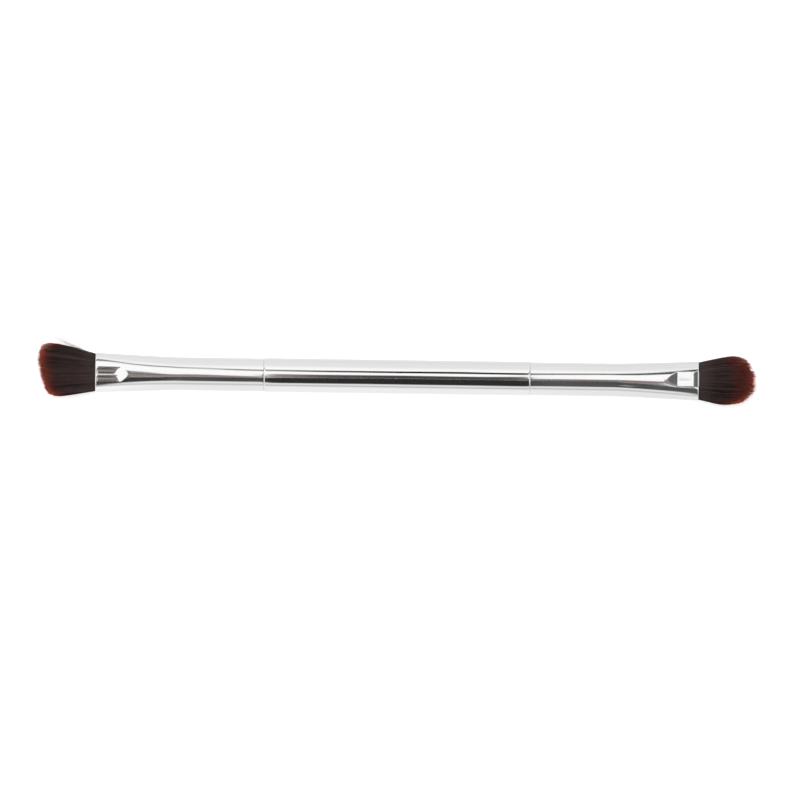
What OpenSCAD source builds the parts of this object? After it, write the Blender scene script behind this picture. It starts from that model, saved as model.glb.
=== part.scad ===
// Double ended makeup brush, lying flat: X runs along it, the angled head at -X, Z is up.
// The origin is on the axis, at the middle of the handle. Millimetres.

/* [Handle] */
// Length of the handle sleeve between its two seams
sleeve_len = 64; // [40:1:110]
// Outside diameter of the handle sleeve
sleeve_d = 8.2; // [7.8:0.1:10]
// Wall of the handle sleeve
sleeve_wall = 0.4; // [0.35:0.05:0.8]
// Radius that rounds the outer edge at each end of the sleeve
sleeve_edge_r = 0.3; // [0.1:0.05:0.3]
// Length of core that reaches into each ferrule
spigot_len = 18; // [10:0.5:22]
// Gap all round the core that the adhesive fills
glue_gap = 0.05; // [0.02:0.01:0.1]
// Chamfer on the nose of each spigot
nose_chamfer = 1; // [0.5:0.1:1.5]
// Number of glue grooves in each spigot
groove_count = 3; // [1:1:4]
// Width of a glue groove
groove_w = 1.2; // [0.6:0.1:1.6]
// Depth of a glue groove
groove_depth = 0.35; // [0.2:0.05:0.6]

/* [Ferrules] */
// Outside diameter of the ferrule tube before its mouth is pressed
ferrule_d = 8; // [7.6:0.1:9]
// Wall of the ferrule tube
ferrule_wall = 0.3; // [0.3:0.05:0.5]
// Length of each ferrule from its seam to its mouth
ferrule_len = 40.5; // [38:0.5:60]
// Length over which a ferrule goes from its pressed mouth to round
press_len = 20; // [16:0.5:24]
// How the press eases out: 1 is a straight taper, more is a softer end
press_ease = 1.2; // [1.1:0.1:1.8]
// Length of the flat that the press leaves at the mouth
pad_len = 5.2; // [3:0.1:6]
// Width of that flat
pad_w = 3.4; // [2:0.1:4.6]
// Length of the lead-in facet behind the flat
facet_len = 2.7; // [1.5:0.1:3.4]
// Rounding of the lip at a ferrule's mouth
lip_r = 0.28; // [0.1:0.02:0.28]
// Rounding of a ferrule's outer edge at its seam
seam_edge_r = 0.12; // [0.05:0.01:0.2]
// Roll of the angled head against the handle, its long side up, in degrees
angled_roll = 4; // [0:1:15]
// Roll of the domed head against the handle, its long side down, in degrees
domed_roll = 7; // [0:1:15]

/* [Angled tuft] */
// Width of the pressed mouth that holds the angled tuft
angled_mouth_w = 9.6; // [9.2:0.1:10.2]
// Free length of the angled tuft
angled_len = 14; // [13:0.1:22]
// Widest reach of the angled tuft on its long side
angled_long_w = 7.1; // [5.5:0.1:9]
// Widest reach of the angled tuft on its short side
angled_short_w = 6.1; // [5:0.05:8]
// Length of the outermost fibres on the long side
angled_long_shoulder = 10.4; // [8:0.1:12]
// Length of the outermost fibres on the short side
angled_short_shoulder = 8; // [6:0.1:10]
// Length that the slant of the tip takes from the short side
angled_slant = 1.6; // [0:0.1:3]
// Squareness of the angled tip: 2 is a round dome, more is squarer
angled_corner = 5; // [2:0.1:8]
// Length over which the angled tuft fans out on its long side
angled_long_fan = 12; // [6:0.1:14]
// Length over which the angled tuft fans out on its short side
angled_short_fan = 11.5; // [6:0.1:14]
// How much shorter the angled tuft is on its two broad faces than between them
angled_face_drop = 1.3; // [0.5:0.1:5]
// Half-thickness of the angled tuft at its very tip
angled_tip_thick = 2; // [0.8:0.05:2.4]

/* [Domed tuft] */
// Width of the pressed mouth that holds the domed tuft
domed_mouth_w = 9.5; // [9.2:0.1:10.2]
// Free length of the domed tuft
domed_len = 13.7; // [12:0.1:22]
// Widest reach of the domed tuft on its long side
domed_long_w = 6.15; // [5.2:0.05:8]
// Widest reach of the domed tuft on its short side
domed_short_w = 5.65; // [5:0.05:8]
// Length of the outermost fibres on the long side
domed_long_shoulder = 7.8; // [6:0.1:10]
// Length of the outermost fibres on the short side
domed_short_shoulder = 6.3; // [5:0.1:10]
// Length that the slant of the tip takes from the short side
domed_slant = 0; // [0:0.1:3]
// Squareness of the domed tip: 2 is a round dome, more is squarer
domed_corner = 2.4; // [2:0.1:8]
// Length over which the domed tuft fans out on its long side
domed_long_fan = 8.8; // [6:0.1:14]
// Length over which the domed tuft fans out on its short side
domed_short_fan = 6.4; // [6:0.1:14]
// How much shorter the domed tuft is on its two broad faces than between them
domed_face_drop = 3.4; // [0.5:0.1:5]
// Half-thickness of the domed tuft at its very tip
domed_tip_thick = 1.3; // [0.8:0.05:2.4]

/* [Fibre bundle] */
// Half-thickness of a tuft where it is fullest
belly = 2.9; // [2.4:0.05:3.6]
// Distance from the mouth at which a tuft is fullest
belly_at = 4.2; // [2:0.1:6]
// Number of fibre locks round a tuft
lock_count = 36; // [24:2:40]
// Depth of the grooves between locks at the tip
lock_depth = 0.32; // [0.1:0.02:0.5]
// How far locks differ in length at the tip
lock_ragged = 0.25; // [0:0.05:0.6]
// Length of a tuft's root inside its ferrule
root_len = 11; // [10.5:0.5:13]
// Gap between a tuft's root and the ferrule's wall
root_gap = 0.05; // [0.02:0.01:0.1]

/* [Binding and resin] */
// Number of turns of thread round a root
thread_turns = 4; // [2:1:5]
// Diameter of the binding thread
thread_d = 0.4; // [0.3:0.05:0.45]
// Gap between the thread and the waist of the root that it is wound on
thread_gap = 0.03; // [0.02:0.01:0.06]
// Distance from the end of the root to the last turn of thread
thread_inset = 0.6; // [0.3:0.1:0.8]
// Length of the resin plug behind a root
plug_len = 4; // [2:0.5:5]
// Depth of the hollow that the resin sets with
plug_hollow = 0.7; // [0.2:0.1:1]

/* [Hidden] */
$fn = 96;

sleeve_r = sleeve_d / 2;
sleeve_bore_r = sleeve_r - sleeve_wall;
ferrule_r = ferrule_d / 2;
ferrule_bore_r = ferrule_r - ferrule_wall;
core_r = sleeve_bore_r - glue_gap;
// The spigots pass through the sleeve as well, so its bore limits them too
spigot_r = min(ferrule_bore_r, sleeve_bore_r) - glue_gap;
seam_x = sleeve_len / 2;
mouth_x = seam_x + ferrule_len;
facet_end = pad_len + facet_len;
hair_inset = ferrule_wall + root_gap;
thread_len = thread_turns * thread_d;
waist_end = root_len - thread_inset;
waist_start = waist_end - thread_len;
waist_depth = thread_d + thread_gap;

// Angle up to which the points of a pressed section's flank stay put
flank_angle = 55;
// Steps along that stretch, from there to the edge of the flat, and across the flat
flank_n = 7;
edge_n = 3;
flat_n = 2;
// Where the flat has closed up at the end of the facet, its two edges stay this far round
closed_flat_angle = 87;
// Points round a tuft: a groove, a rise and a ridge for each lock
lock_points = 3;
tuft_n = lock_count * lock_points;
// Rings along a tuft's sides, and those over its tip, as shares of the way out to its faces
side_rings = 6;
tip_rings = [0.88, 0.7, 0.46, 0.2];
// Where the slant of a tip begins, as a share of its reach on the long side
slant_from = 0.3;

// Width, length, reaches, shoulders, slant, squareness, fans, face drop, tip and seed of each head
ANGLED = [angled_mouth_w, angled_len, angled_long_w, angled_short_w, angled_long_shoulder,
    angled_short_shoulder, angled_slant, angled_corner, angled_long_fan, angled_short_fan,
    angled_face_drop, angled_tip_thick, 11];
DOMED = [domed_mouth_w, domed_len, domed_long_w, domed_short_w, domed_long_shoulder,
    domed_short_shoulder, domed_slant, domed_corner, domed_long_fan, domed_short_fan,
    domed_face_drop, domed_tip_thick, 23];
function mouth_w(head) = head[0];
function tuft_len(head) = head[1];
function reach(head, u) = u > 0 ? head[2] : head[3];
function shoulder(head, u) = u > 0 ? head[4] : head[5];
function slant(head) = head[6];
function corner(head) = head[7];
function fan(head, u) = u > 0 ? head[8] : head[9];
function face_drop(head) = head[10];
function tip_thick(head) = head[11];
function seed(head) = head[12];

function mix(a, b, f) = a + (b - a) * f;
function clamp(v, lo, hi) = max(lo, min(hi, v));

// Half-width of the pressed tube at s from its mouth
function half_w(head, s) =
    ferrule_r + (mouth_w(head) / 2 - ferrule_r) * pow(max(0, 1 - s / press_len), press_ease);

// Half-height at s: the press makes the tube wider, and its girth stays that of the round tube
function half_h(head, s) =
    let (a = half_w(head, s), k = (a - ferrule_r) / ferrule_r)
    2 * ferrule_r / (1 + k * k / 4) - a;

// Height at which a flat of the full width cuts the oval
function flat_h(head, s) = half_h(head, s) * sqrt(1 - pow(pad_w / 2 / half_w(head, s), 2));

// Height of the press's face: the flat, then the facet that rises until it leaves the tube
function die_h(head, s) =
    s <= pad_len ? mix(flat_h(head, 0), flat_h(head, pad_len), s / pad_len)
    : s <= facet_end
        ? mix(flat_h(head, pad_len), half_h(head, facet_end), (s - pad_len) / facet_len)
        : half_h(head, s);

// Angle at which the oval's flank meets the flat
function flat_angle(head, s) =
    asin(min(die_h(head, s) / half_h(head, s), sin(closed_flat_angle)));

// Angles from the side of a section to the middle of its flat
function quarter_angles(edge) = [
    for (i = [0 : flank_n - 1]) flank_angle * i / flank_n,
    for (i = [0 : edge_n - 1]) mix(flank_angle, edge, i / edge_n),
    for (i = [0 : flat_n / 2 - 1]) mix(edge, 90, 2 * i / flat_n)
];

// Angles round a whole section
function section_angles(head, s) =
    let (quarter = quarter_angles(flat_angle(head, s)), n = len(quarter))
    [for (half = [0, 180]) each [
        for (i = [0 : n - 1]) half + quarter[i],
        half + 90,
        for (i = [n - 1 : -1 : 1]) half + 180 - quarter[i]
    ]];

// Point of the pressed section at angle t, moved inward by inset
function pressed_point(head, s, t, inset) =
    let (
        a = half_w(head, s),
        b = half_h(head, s),
        out = [b * cos(t), a * sin(t)],
        p = [a * cos(t), b * sin(t)] - inset * out / norm(out),
        h = die_h(head, s) - inset
    )
    [s, p[0], clamp(p[1], -h, h)];

function pressed_ring(head, s, inset) =
    [for (t = section_angles(head, s)) pressed_point(head, s, t, inset)];

// Two triangles for each quad between ring j and ring k, n points in each
function band(j, k, n) =
    [for (i = [0 : n - 1]) let (next = (i + 1) % n) each [
        [j * n + i, k * n + next, j * n + next],
        [j * n + i, k * n + i, k * n + next]
    ]];

// A hollow shell: its rings run along the outside and back along the inside
module ring_shell(rings) {
    n = len(rings[0]);
    m = len(rings);
    polyhedron(
        points = [for (ring = rings) each ring],
        faces = [for (j = [0 : m - 1]) each band(j, (j + 1) % m, n)]
    );
}

// Triangles from a ring of n points, whose first is base, to a point
function fan_faces(base, n, tip, flip) =
    [for (i = [0 : n - 1]) let (next = (i + 1) % n)
        flip ? [tip, base + next, base + i] : [tip, base + i, base + next]];

// Triangles that join the upper half of a ring to its lower half
function strip_faces(base, n) =
    [for (i = [0 : n / 2 - 1]) each [
        if (i > 0) [base + i, base + i + 1, base + n - i],
        if (i < n / 2 - 1) [base + i + 1, base + n - i - 1, base + (n - i) % n]
    ]];

// A solid through rings that run towards -X, closed by a point, or at its end by a strip
module ring_solid(rings, start, finish) {
    n = len(rings[0]);
    m = len(rings);
    last = (m - 1) * n;
    polyhedron(
        points = [each [for (ring = rings) each ring], start, if (finish != undef) finish],
        faces = [
            for (j = [0 : m - 2]) each band(j + 1, j, n),
            each fan_faces(0, n, m * n, true),
            each finish == undef ? strip_faces(last, n) : fan_faces(last, n, m * n + 1, false)
        ]
    );
}

// Sets a head, drawn from its mouth at 0 towards its seam at +X, on its end of the handle
module angled_end() {
    rotate([angled_roll, 0, 0]) translate([-mouth_x, 0, 0]) children();
}

module domed_end() {
    rotate([-domed_roll, 0, 0]) translate([mouth_x, 0, 0]) mirror([1, 0, 0]) children();
}

// Round tube pressed to an oval at its mouth, with a flat and a lead-in facet above and below
module ferrule(head) {
    mouth_stations = [0.5 * pad_len, pad_len];
    lip_mid = lip_r * (1 - sin(45));
    facet_stations = [for (f = [1 / 3, 2 / 3, 1]) pad_len + f * facet_len];
    round_stations = [for (f = [0.25, 0.5, 0.75, 1]) mix(facet_end, press_len, f)];
    inner = [each mouth_stations, each facet_stations, each round_stations];
    outer = [lip_r, each inner, ferrule_len - seam_edge_r];
    ring_shell([
        pressed_ring(head, 0, lip_r),
        pressed_ring(head, lip_mid, lip_mid),
        for (s = outer) pressed_ring(head, s, 0),
        pressed_ring(head, ferrule_len, seam_edge_r),
        pressed_ring(head, ferrule_len, ferrule_wall),
        for (i = [len(inner) - 1 : -1 : 0]) pressed_ring(head, inner[i], ferrule_wall),
        pressed_ring(head, 0, ferrule_wall)
    ]);
}

// Length of the fibre that starts at u across the mouth and v through it, both from -1 to 1
function fibre_len(head, u, v) =
    let (
        top = tuft_len(head) - slant(head) * max(0, slant_from - u),
        low = shoulder(head, u),
        dome = sqrt(max(0, 1 - pow(abs(u), corner(head))))
    )
    mix(low, top, dome) - face_drop(head) * pow(abs(v), 2.2) * dome;

// Half-width of a tuft at d from the mouth, on the side that u is on
function tuft_w(head, u, d) =
    let (start = mouth_w(head) / 2 - hair_inset)
    mix(start, reach(head, u), 1 - pow(max(0, 1 - d / fan(head, u)), 1.5));

// Half-thickness at d: it swells out of the mouth and thins towards the tip
function tuft_h(head, d) =
    let (start = die_h(head, 0) - hair_inset)
    d < belly_at
        ? mix(start, belly, sin(90 * d / belly_at))
        : mix(belly, tip_thick(head), pow((d - belly_at) / (tuft_len(head) - belly_at), 1.6));

// Point on a tuft's surface: f along its fibre, r of the way out to the broad face it lies on
function tuft_point(head, i, r, f, ragged) =
    let (
        t = 360 * i / tuft_n,
        lock = ragged[floor(i / lock_points)],
        groove = [1, 0.4, 0][i % lock_points] * lock_depth * (1 + 0.5 * lock),
        u = cos(t),
        v = r * sin(t),
        d = f * (fibre_len(head, u, v) + lock_ragged * lock - groove * f),
        sink = groove * f * (1 - 0.3 * r)
    )
    [-d, u * (tuft_w(head, u, d) - sink), v * tuft_h(head, d) - r * sink * sin(t)];

// Fibre bundle: an oval root with a waist for its thread, then locks that fan out to the tip
module tuft(head) {
    ragged = rands(-1, 1, lock_count, seed(head));
    angles = [for (i = [0 : tuft_n - 1]) 360 * i / tuft_n];
    root = [
        [root_len, 0], [waist_end, 0], [waist_end, waist_depth], [waist_start, waist_depth],
        [waist_start, 0], [facet_end, 0], [pad_len, 0], [0, 0]
    ];
    ring_solid(
        [
            for (station = root)
                [for (t = angles) pressed_point(head, station[0], t, hair_inset + station[1])],
            for (j = [1 : side_rings])
                [for (i = [0 : tuft_n - 1]) tuft_point(head, i, 1, j / side_rings, ragged)],
            for (r = tip_rings)
                [for (i = [0 : tuft_n - 1]) tuft_point(head, i, r, 1, ragged)]
        ],
        [root_len, 0, 0]
    );
}

// Band of thread turns lying in the waist of a tuft's root
module binding_thread(head) {
    turn = [for (k = [0 : 2 * thread_turns]) [
        waist_start + k * thread_d / 2,
        hair_inset + (k % 2 == 0 ? thread_d / 2 : 0)
    ]];
    ring_shell([
        for (p = turn) pressed_ring(head, p[0], p[1]),
        pressed_ring(head, waist_end, hair_inset + thread_d),
        pressed_ring(head, waist_start, hair_inset + thread_d)
    ]);
}

// Resin that has set behind the root, with a hollow where it crept up the wall
module glue_plug(head) {
    back = root_len + plug_len;
    ring_solid(
        [
            for (k = [2, 1, 0])
                [for (p = pressed_ring(head, back, hair_inset + k * plug_hollow))
                    p - [k * plug_hollow / 2, 0, 0]],
            pressed_ring(head, root_len, hair_inset)
        ],
        [back - plug_hollow, 0, 0],
        [root_len, 0, 0]
    );
}

// Bright tube between the seams
module handle_sleeve() {
    color("silver") rotate([0, 90, 0]) rotate_extrude() difference() {
        translate([sleeve_bore_r, -seam_x]) square([sleeve_wall, sleeve_len]);
        for (end = [-1, 1]) {
            corner_at = [sleeve_r - sleeve_edge_r, end * (seam_x - sleeve_edge_r)];
            translate(corner_at) difference() {
                translate([0, end > 0 ? 0 : -2 * sleeve_edge_r])
                    square([2 * sleeve_edge_r, 2 * sleeve_edge_r]);
                circle(sleeve_edge_r);
            }
        }
    }
}

// Rod through the sleeve, with a grooved spigot in each ferrule
module handle_core() {
    color("dimgray") rotate([0, 90, 0]) difference() {
        union() {
            cylinder(r = core_r, h = sleeve_len, center = true);
            for (end = [0, 180]) rotate([end, 0, 0]) {
                translate([0, 0, seam_x]) cylinder(r = spigot_r, h = spigot_len - nose_chamfer);
                translate([0, 0, seam_x + spigot_len - nose_chamfer])
                    cylinder(r1 = spigot_r, r2 = spigot_r - nose_chamfer, h = nose_chamfer);
            }
        }
        for (end = [0, 180]) rotate([end, 0, 0]) {
            for (k = [1 : groove_count]) {
                translate([0, 0, seam_x + k * (spigot_len - nose_chamfer) / (groove_count + 1)])
                    glue_groove();
            }
        }
    }
}

// Ring that a glue groove takes away, centred on its own middle
module glue_groove() {
    rotate_extrude() translate([spigot_r - groove_depth, -groove_w / 2])
        square([2 * groove_depth, groove_w]);
}

module angled_ferrule() {
    color("silver") angled_end() ferrule(ANGLED);
}

module angled_tuft() {
    color([0.2, 0.14, 0.13]) angled_end() tuft(ANGLED);
}

module angled_glue_plug() {
    color("goldenrod") angled_end() glue_plug(ANGLED);
}

module angled_binding_thread() {
    color("beige") angled_end() binding_thread(ANGLED);
}

module domed_ferrule() {
    color("silver") domed_end() ferrule(DOMED);
}

module domed_tuft() {
    color([0.2, 0.14, 0.13]) domed_end() tuft(DOMED);
}

module domed_glue_plug() {
    color("goldenrod") domed_end() glue_plug(DOMED);
}

module domed_binding_thread() {
    color("beige") domed_end() binding_thread(DOMED);
}

handle_sleeve();
handle_core();
angled_ferrule();
angled_tuft();
angled_glue_plug();
angled_binding_thread();
domed_ferrule();
domed_tuft();
domed_glue_plug();
domed_binding_thread();
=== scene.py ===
"""Double ended makeup brush: its looks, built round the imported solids."""

import logging
import math
from dataclasses import dataclass
from enum import Enum
from typing import Any

import bpy
import numpy as np
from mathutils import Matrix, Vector

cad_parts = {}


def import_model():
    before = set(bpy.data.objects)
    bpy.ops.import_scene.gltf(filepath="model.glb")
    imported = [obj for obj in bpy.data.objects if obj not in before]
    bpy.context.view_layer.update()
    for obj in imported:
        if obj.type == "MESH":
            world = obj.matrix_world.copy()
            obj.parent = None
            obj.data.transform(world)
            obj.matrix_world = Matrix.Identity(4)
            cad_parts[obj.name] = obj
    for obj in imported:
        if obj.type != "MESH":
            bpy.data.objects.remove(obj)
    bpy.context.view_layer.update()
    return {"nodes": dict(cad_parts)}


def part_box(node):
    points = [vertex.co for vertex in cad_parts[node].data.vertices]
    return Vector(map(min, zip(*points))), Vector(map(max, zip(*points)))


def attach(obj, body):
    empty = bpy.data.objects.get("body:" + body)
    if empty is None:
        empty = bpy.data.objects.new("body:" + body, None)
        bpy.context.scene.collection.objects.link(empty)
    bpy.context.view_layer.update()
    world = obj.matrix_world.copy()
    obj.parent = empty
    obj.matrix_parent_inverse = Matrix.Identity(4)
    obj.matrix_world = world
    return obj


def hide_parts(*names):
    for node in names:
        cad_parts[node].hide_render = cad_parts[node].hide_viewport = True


MM = 0.001
WHITE = (1.0, 1.0, 1.0, 1.0)
BLACK = (0.0, 0.0, 0.0, 1.0)
Colour = tuple[float, float, float, float]
Face = tuple[int, ...]
Waves = tuple[float, float, float]
log = logging.getLogger("makeup_brush")


# Shader maths


class Sock:
    """A shader number. Sums, products and powers of it add Math nodes."""

    def __init__(self, shader: "Shader", socket: bpy.types.NodeSocket) -> None:
        """Wraps one output socket of a shader."""
        self.shader = shader
        self.socket = socket

    def maths(self, operation: str, first: Any, second: Any = 0.0) -> "Sock":
        """Adds one Math node and gives its result."""
        return self.shader.number("ShaderNodeMath", {"operation": operation}, {0: first, 1: second})

    def __add__(self, other: Any) -> "Sock":
        """self + other"""
        return self.maths("ADD", self, other)

    def __radd__(self, other: Any) -> "Sock":
        """other + self"""
        return self.maths("ADD", other, self)

    def __sub__(self, other: Any) -> "Sock":
        """self - other"""
        return self.maths("SUBTRACT", self, other)

    def __rsub__(self, other: Any) -> "Sock":
        """other - self"""
        return self.maths("SUBTRACT", other, self)

    def __mul__(self, other: Any) -> "Sock":
        """self * other"""
        return self.maths("MULTIPLY", self, other)

    def __rmul__(self, other: Any) -> "Sock":
        """other * self"""
        return self.maths("MULTIPLY", other, self)

    def __truediv__(self, other: Any) -> "Sock":
        """self / other"""
        return self.maths("DIVIDE", self, other)

    def __pow__(self, other: Any) -> "Sock":
        """self ** other"""
        return self.maths("POWER", self, other)

    def held(self) -> "Sock":
        """The number, held between 0 and 1."""
        return self.shader.number("ShaderNodeClamp", {}, {"Value": self})


class Shader:
    """The nodes of one material or world, with one way to add a node."""

    def __init__(self, owner: bpy.types.Material | bpy.types.World) -> None:
        """Starts with no nodes.

        Args:
            owner: the material or world that the nodes belong to.
        """
        self.owner = owner
        owner.use_nodes = True
        self.tree = owner.node_tree
        self.tree.nodes.clear()

    def node(
        self, kind: str, settings: dict[str, Any] | None = None, inputs: dict[Any, Any] | None = None
    ) -> bpy.types.Node:
        """Adds a node.

        Args:
            kind: the node's type.
            settings: its properties, set first.
            inputs: what goes into each of its sockets, by name or place: a value or a link.

        Returns:
            The new node.
        """
        made = self.tree.nodes.new(kind)
        for name, value in (settings or {}).items():
            setattr(made, name, value)
        for name, value in (inputs or {}).items():
            if isinstance(value, Sock):
                self.tree.links.new(value.socket, made.inputs[name])
            elif isinstance(value, bpy.types.NodeSocket):
                self.tree.links.new(value, made.inputs[name])
            else:
                made.inputs[name].default_value = value
        return made

    def number(self, kind: str, settings: dict[str, Any], inputs: dict[Any, Any], out: Any = 0) -> Sock:
        """Adds a node and gives one of its outputs as a number."""
        return Sock(self, self.node(kind, settings, inputs).outputs[out])

    def measure(self, name: str) -> Sock:
        """A number that the mesh carries at each of its points."""
        return self.number("ShaderNodeAttribute", {"attribute_name": name}, {}, "Fac")

    def mixed(self, share: Sock, low: Any, high: Any) -> bpy.types.NodeSocket:
        """A colour between two colours."""
        inputs = {0: share, 6: low, 7: high}
        return self.node("ShaderNodeMix", {"data_type": "RGBA"}, inputs).outputs[2]

    def place(self) -> bpy.types.NodeSocket:
        """The object's own place, in metres."""
        return self.node("ShaderNodeTexCoord").outputs["Object"]

    def noise(self, waves: Waves, detail: float) -> Sock:
        """Adds noise over the object's own place.

        Args:
            waves: how many waves there are in a metre along each axis.
            detail: how many finer layers the noise has.

        Returns:
            The noise, from 0 to 1.
        """
        spread = self.node("ShaderNodeMapping", {}, {"Vector": self.place(), "Scale": waves})
        inputs = {"Vector": spread.outputs[0], "Scale": 1.0, "Detail": detail}
        return self.number("ShaderNodeTexNoise", {}, inputs, "Fac")

    def bump(self, height: Sock, strength: float, distance: float) -> bpy.types.NodeSocket:
        """The normal over a height map whose distance is in metres."""
        inputs = {"Height": height, "Strength": strength, "Distance": distance}
        return self.node("ShaderNodeBump", {}, inputs).outputs[0]

    def seen(self) -> Sock:
        """Tells the rays that see the white surround from those that only light the brush.

        Returns:
            1 for the rays of the camera, of mirrors and of glass, and 0 for the rest.
        """
        path = self.node("ShaderNodeLightPath").outputs
        rays = Sock(self, path["Is Camera Ray"]) + Sock(self, path["Is Glossy Ray"])
        return (rays + Sock(self, path["Is Transmission Ray"])).held()

    def surface(self, shader: bpy.types.NodeSocket) -> bpy.types.Material:
        """Puts a shader on the surface and gives the material."""
        self.node("ShaderNodeOutputMaterial", {}, {"Surface": shader})
        return self.owner

    def principled(self, inputs: dict[str, Any]) -> bpy.types.Material:
        """Puts one Principled shader on the surface and gives the material."""
        return self.surface(self.node("ShaderNodeBsdfPrincipled", {}, inputs).outputs[0])


# Finishes


def shaded(colour: Colour, share: float) -> Colour:
    """The colour at that share of its lightness."""
    return (*(part * share for part in colour[:3]), 1.0)


@dataclass(frozen=True)
class BrightMetal:
    """Polished metal tube, with the faint marks that drawing leaves along it."""

    name: str
    colour: Colour
    roughness: float
    haze: float
    uneven: float = 0.04
    worn: float = 0.97
    mark_depth: float = 0.000002
    mark_waves: Waves = (25.0, 2600.0, 2600.0)
    cloud_waves: Waves = (160.0, 160.0, 160.0)

    def material(self) -> bpy.types.Material:
        """Builds long fine marks in the metal's roughness and relief, and a milky haze.

        Returns:
            The metal.
        """
        shader = Shader(bpy.data.materials.new(self.name))
        marks = shader.noise(self.mark_waves, 4.0)
        cloud = shader.noise(self.cloud_waves, 2.0)
        worn = shaded(self.colour, self.worn)
        return shader.principled({
            "Base Color": shader.mixed((marks * 1.4 - 0.2).held(), self.colour, worn),
            "Metallic": 1 - self.haze * (0.6 + 0.8 * cloud),
            "Roughness": self.roughness + self.uneven * (0.6 * marks + 0.4 * cloud),
            "Normal": shader.bump(marks, 0.3, self.mark_depth),
        })


@dataclass(frozen=True)
class DarkFibre:
    """Dark brown fibre whose tips are dyed red.

    The tip glows over glow_len, and the root's tone fades over root_len from the ferrule's
    mouth, both in millimetres. The root's tone also comes in only over the first 0.4 mm past
    the mouth, which leaves a band of painted shade where the fibres leave the ferrule.
    """

    name: str
    body: Colour
    body_light: Colour
    root: Colour
    dye: Colour
    dye_light: Colour
    glow_tip: Colour
    bleached: Colour
    glow_len: float = 0.8
    root_len: float = 4.5
    dye_fall: float = 2.2
    roughness: float = 0.55
    specular: float = 0.12
    sheen: float = 0.02
    mottle_waves: Waves = (300.0, 1500.0, 1500.0)

    def material(self) -> bpy.types.Material:
        """Builds the fibre from the measures that its mesh carries.

        Returns:
            The fibre's material.
        """
        shader = Shader(bpy.data.materials.new(self.name))
        tone = shader.measure("tone")
        from_tip = shader.measure("from_tip")
        from_root = shader.measure("from_root")
        mottle = shader.noise(self.mottle_waves, 2.0)
        # The root's tone, held back over the first 0.4 mm past the mouth: painted shade where the fibres
        # leave the ferrule.
        root_tone_and_mouth_shade = (1 - from_root / self.root_len).held() ** 1.5 * (from_root * 2.5).held()
        dark = shader.mixed((1.5 * tone + 0.3 * mottle - 0.5).held(), self.body, self.body_light)
        dark = shader.mixed(root_tone_and_mouth_shade * (0.5 + 0.5 * tone), dark, self.root)
        red = shader.mixed((0.6 * tone + 0.5 * mottle - 0.05).held(), self.dye, self.dye_light)
        red = shader.mixed((1 - from_tip / self.glow_len).held(), red, self.glow_tip)
        dyed = (1 - from_tip / shader.measure("dye_len")).held() ** self.dye_fall
        tipped = shader.mixed(dyed, dark, red)
        return shader.principled({
            "Base Color": shader.mixed(shader.measure("pale"), tipped, self.bleached),
            "Roughness": self.roughness,
            "Specular IOR Level": self.specular,
            "Sheen Weight": self.sheen,
        })


@dataclass(frozen=True)
class MouldedPlastic:
    """Moulded plastic with a slight flow texture."""

    name: str
    colour: Colour
    deep: float = 0.7
    flow_depth: float = 0.00004
    flow_waves: Waves = (120.0, 900.0, 900.0)

    def material(self) -> bpy.types.Material:
        """Builds the plastic: clouded colour, satin skin, fine flow marks along the rod.

        Returns:
            The plastic.
        """
        shader = Shader(bpy.data.materials.new(self.name))
        flow = shader.noise(self.flow_waves, 3.0)
        return shader.principled({
            "Base Color": shader.mixed(flow, self.colour, shaded(self.colour, self.deep)),
            "Roughness": 0.35 + 0.2 * flow,
            "Normal": shader.bump(flow, 0.4, self.flow_depth),
        })


@dataclass(frozen=True)
class SetResin:
    """Amber resin that has set, with bubbles near its surface."""

    name: str
    colour: Colour
    deep: Colour
    bubble_depth: float = 0.00003
    bubble_waves: float = 2500.0
    cloud_waves: Waves = (500.0, 500.0, 500.0)

    def material(self) -> bpy.types.Material:
        """Builds the resin: amber clouds, pocked with small bubbles under a glossy skin.

        Returns:
            The resin.
        """
        shader = Shader(bpy.data.materials.new(self.name))
        cloud = shader.noise(self.cloud_waves, 3.0)
        inputs = {"Vector": shader.place(), "Scale": self.bubble_waves}
        bubbles = shader.number("ShaderNodeTexVoronoi", {}, inputs, "Distance")
        return shader.principled({
            "Base Color": shader.mixed(cloud, self.colour, self.deep),
            "Roughness": 0.15 + 0.2 * cloud,
            "Normal": shader.bump(bubbles.held(), 0.5, self.bubble_depth),
        })


@dataclass(frozen=True)
class TwistedThread:
    """Pale thread of twisted yarns, which slant by yarn_turn in radians round each axis."""

    name: str
    colour: Colour
    shade: Colour
    yarn_depth: float = 0.00005
    yarn_waves: float = 1500.0
    yarn_turn: tuple[float, float, float] = (0.6, 0.5, 0.7)

    def material(self) -> bpy.types.Material:
        """Builds the thread: slanting yarns in colour and relief.

        Returns:
            The thread's material.
        """
        shader = Shader(bpy.data.materials.new(self.name))
        slant = {"Vector": shader.place(), "Rotation": self.yarn_turn}
        turned = shader.node("ShaderNodeMapping", {}, slant).outputs[0]
        inputs = {"Vector": turned, "Scale": self.yarn_waves, "Distortion": 1.5, "Detail": 2.0}
        yarn = shader.number("ShaderNodeTexWave", {}, inputs, "Fac")
        return shader.principled({
            # The shade colour fills the low grooves of the yarn wave: painted shade between the yarns.
            "Base Color": shader.mixed(yarn, self.shade, self.colour),
            "Roughness": 0.9,
            "Normal": shader.bump(yarn, 0.6, self.yarn_depth),
        })


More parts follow.
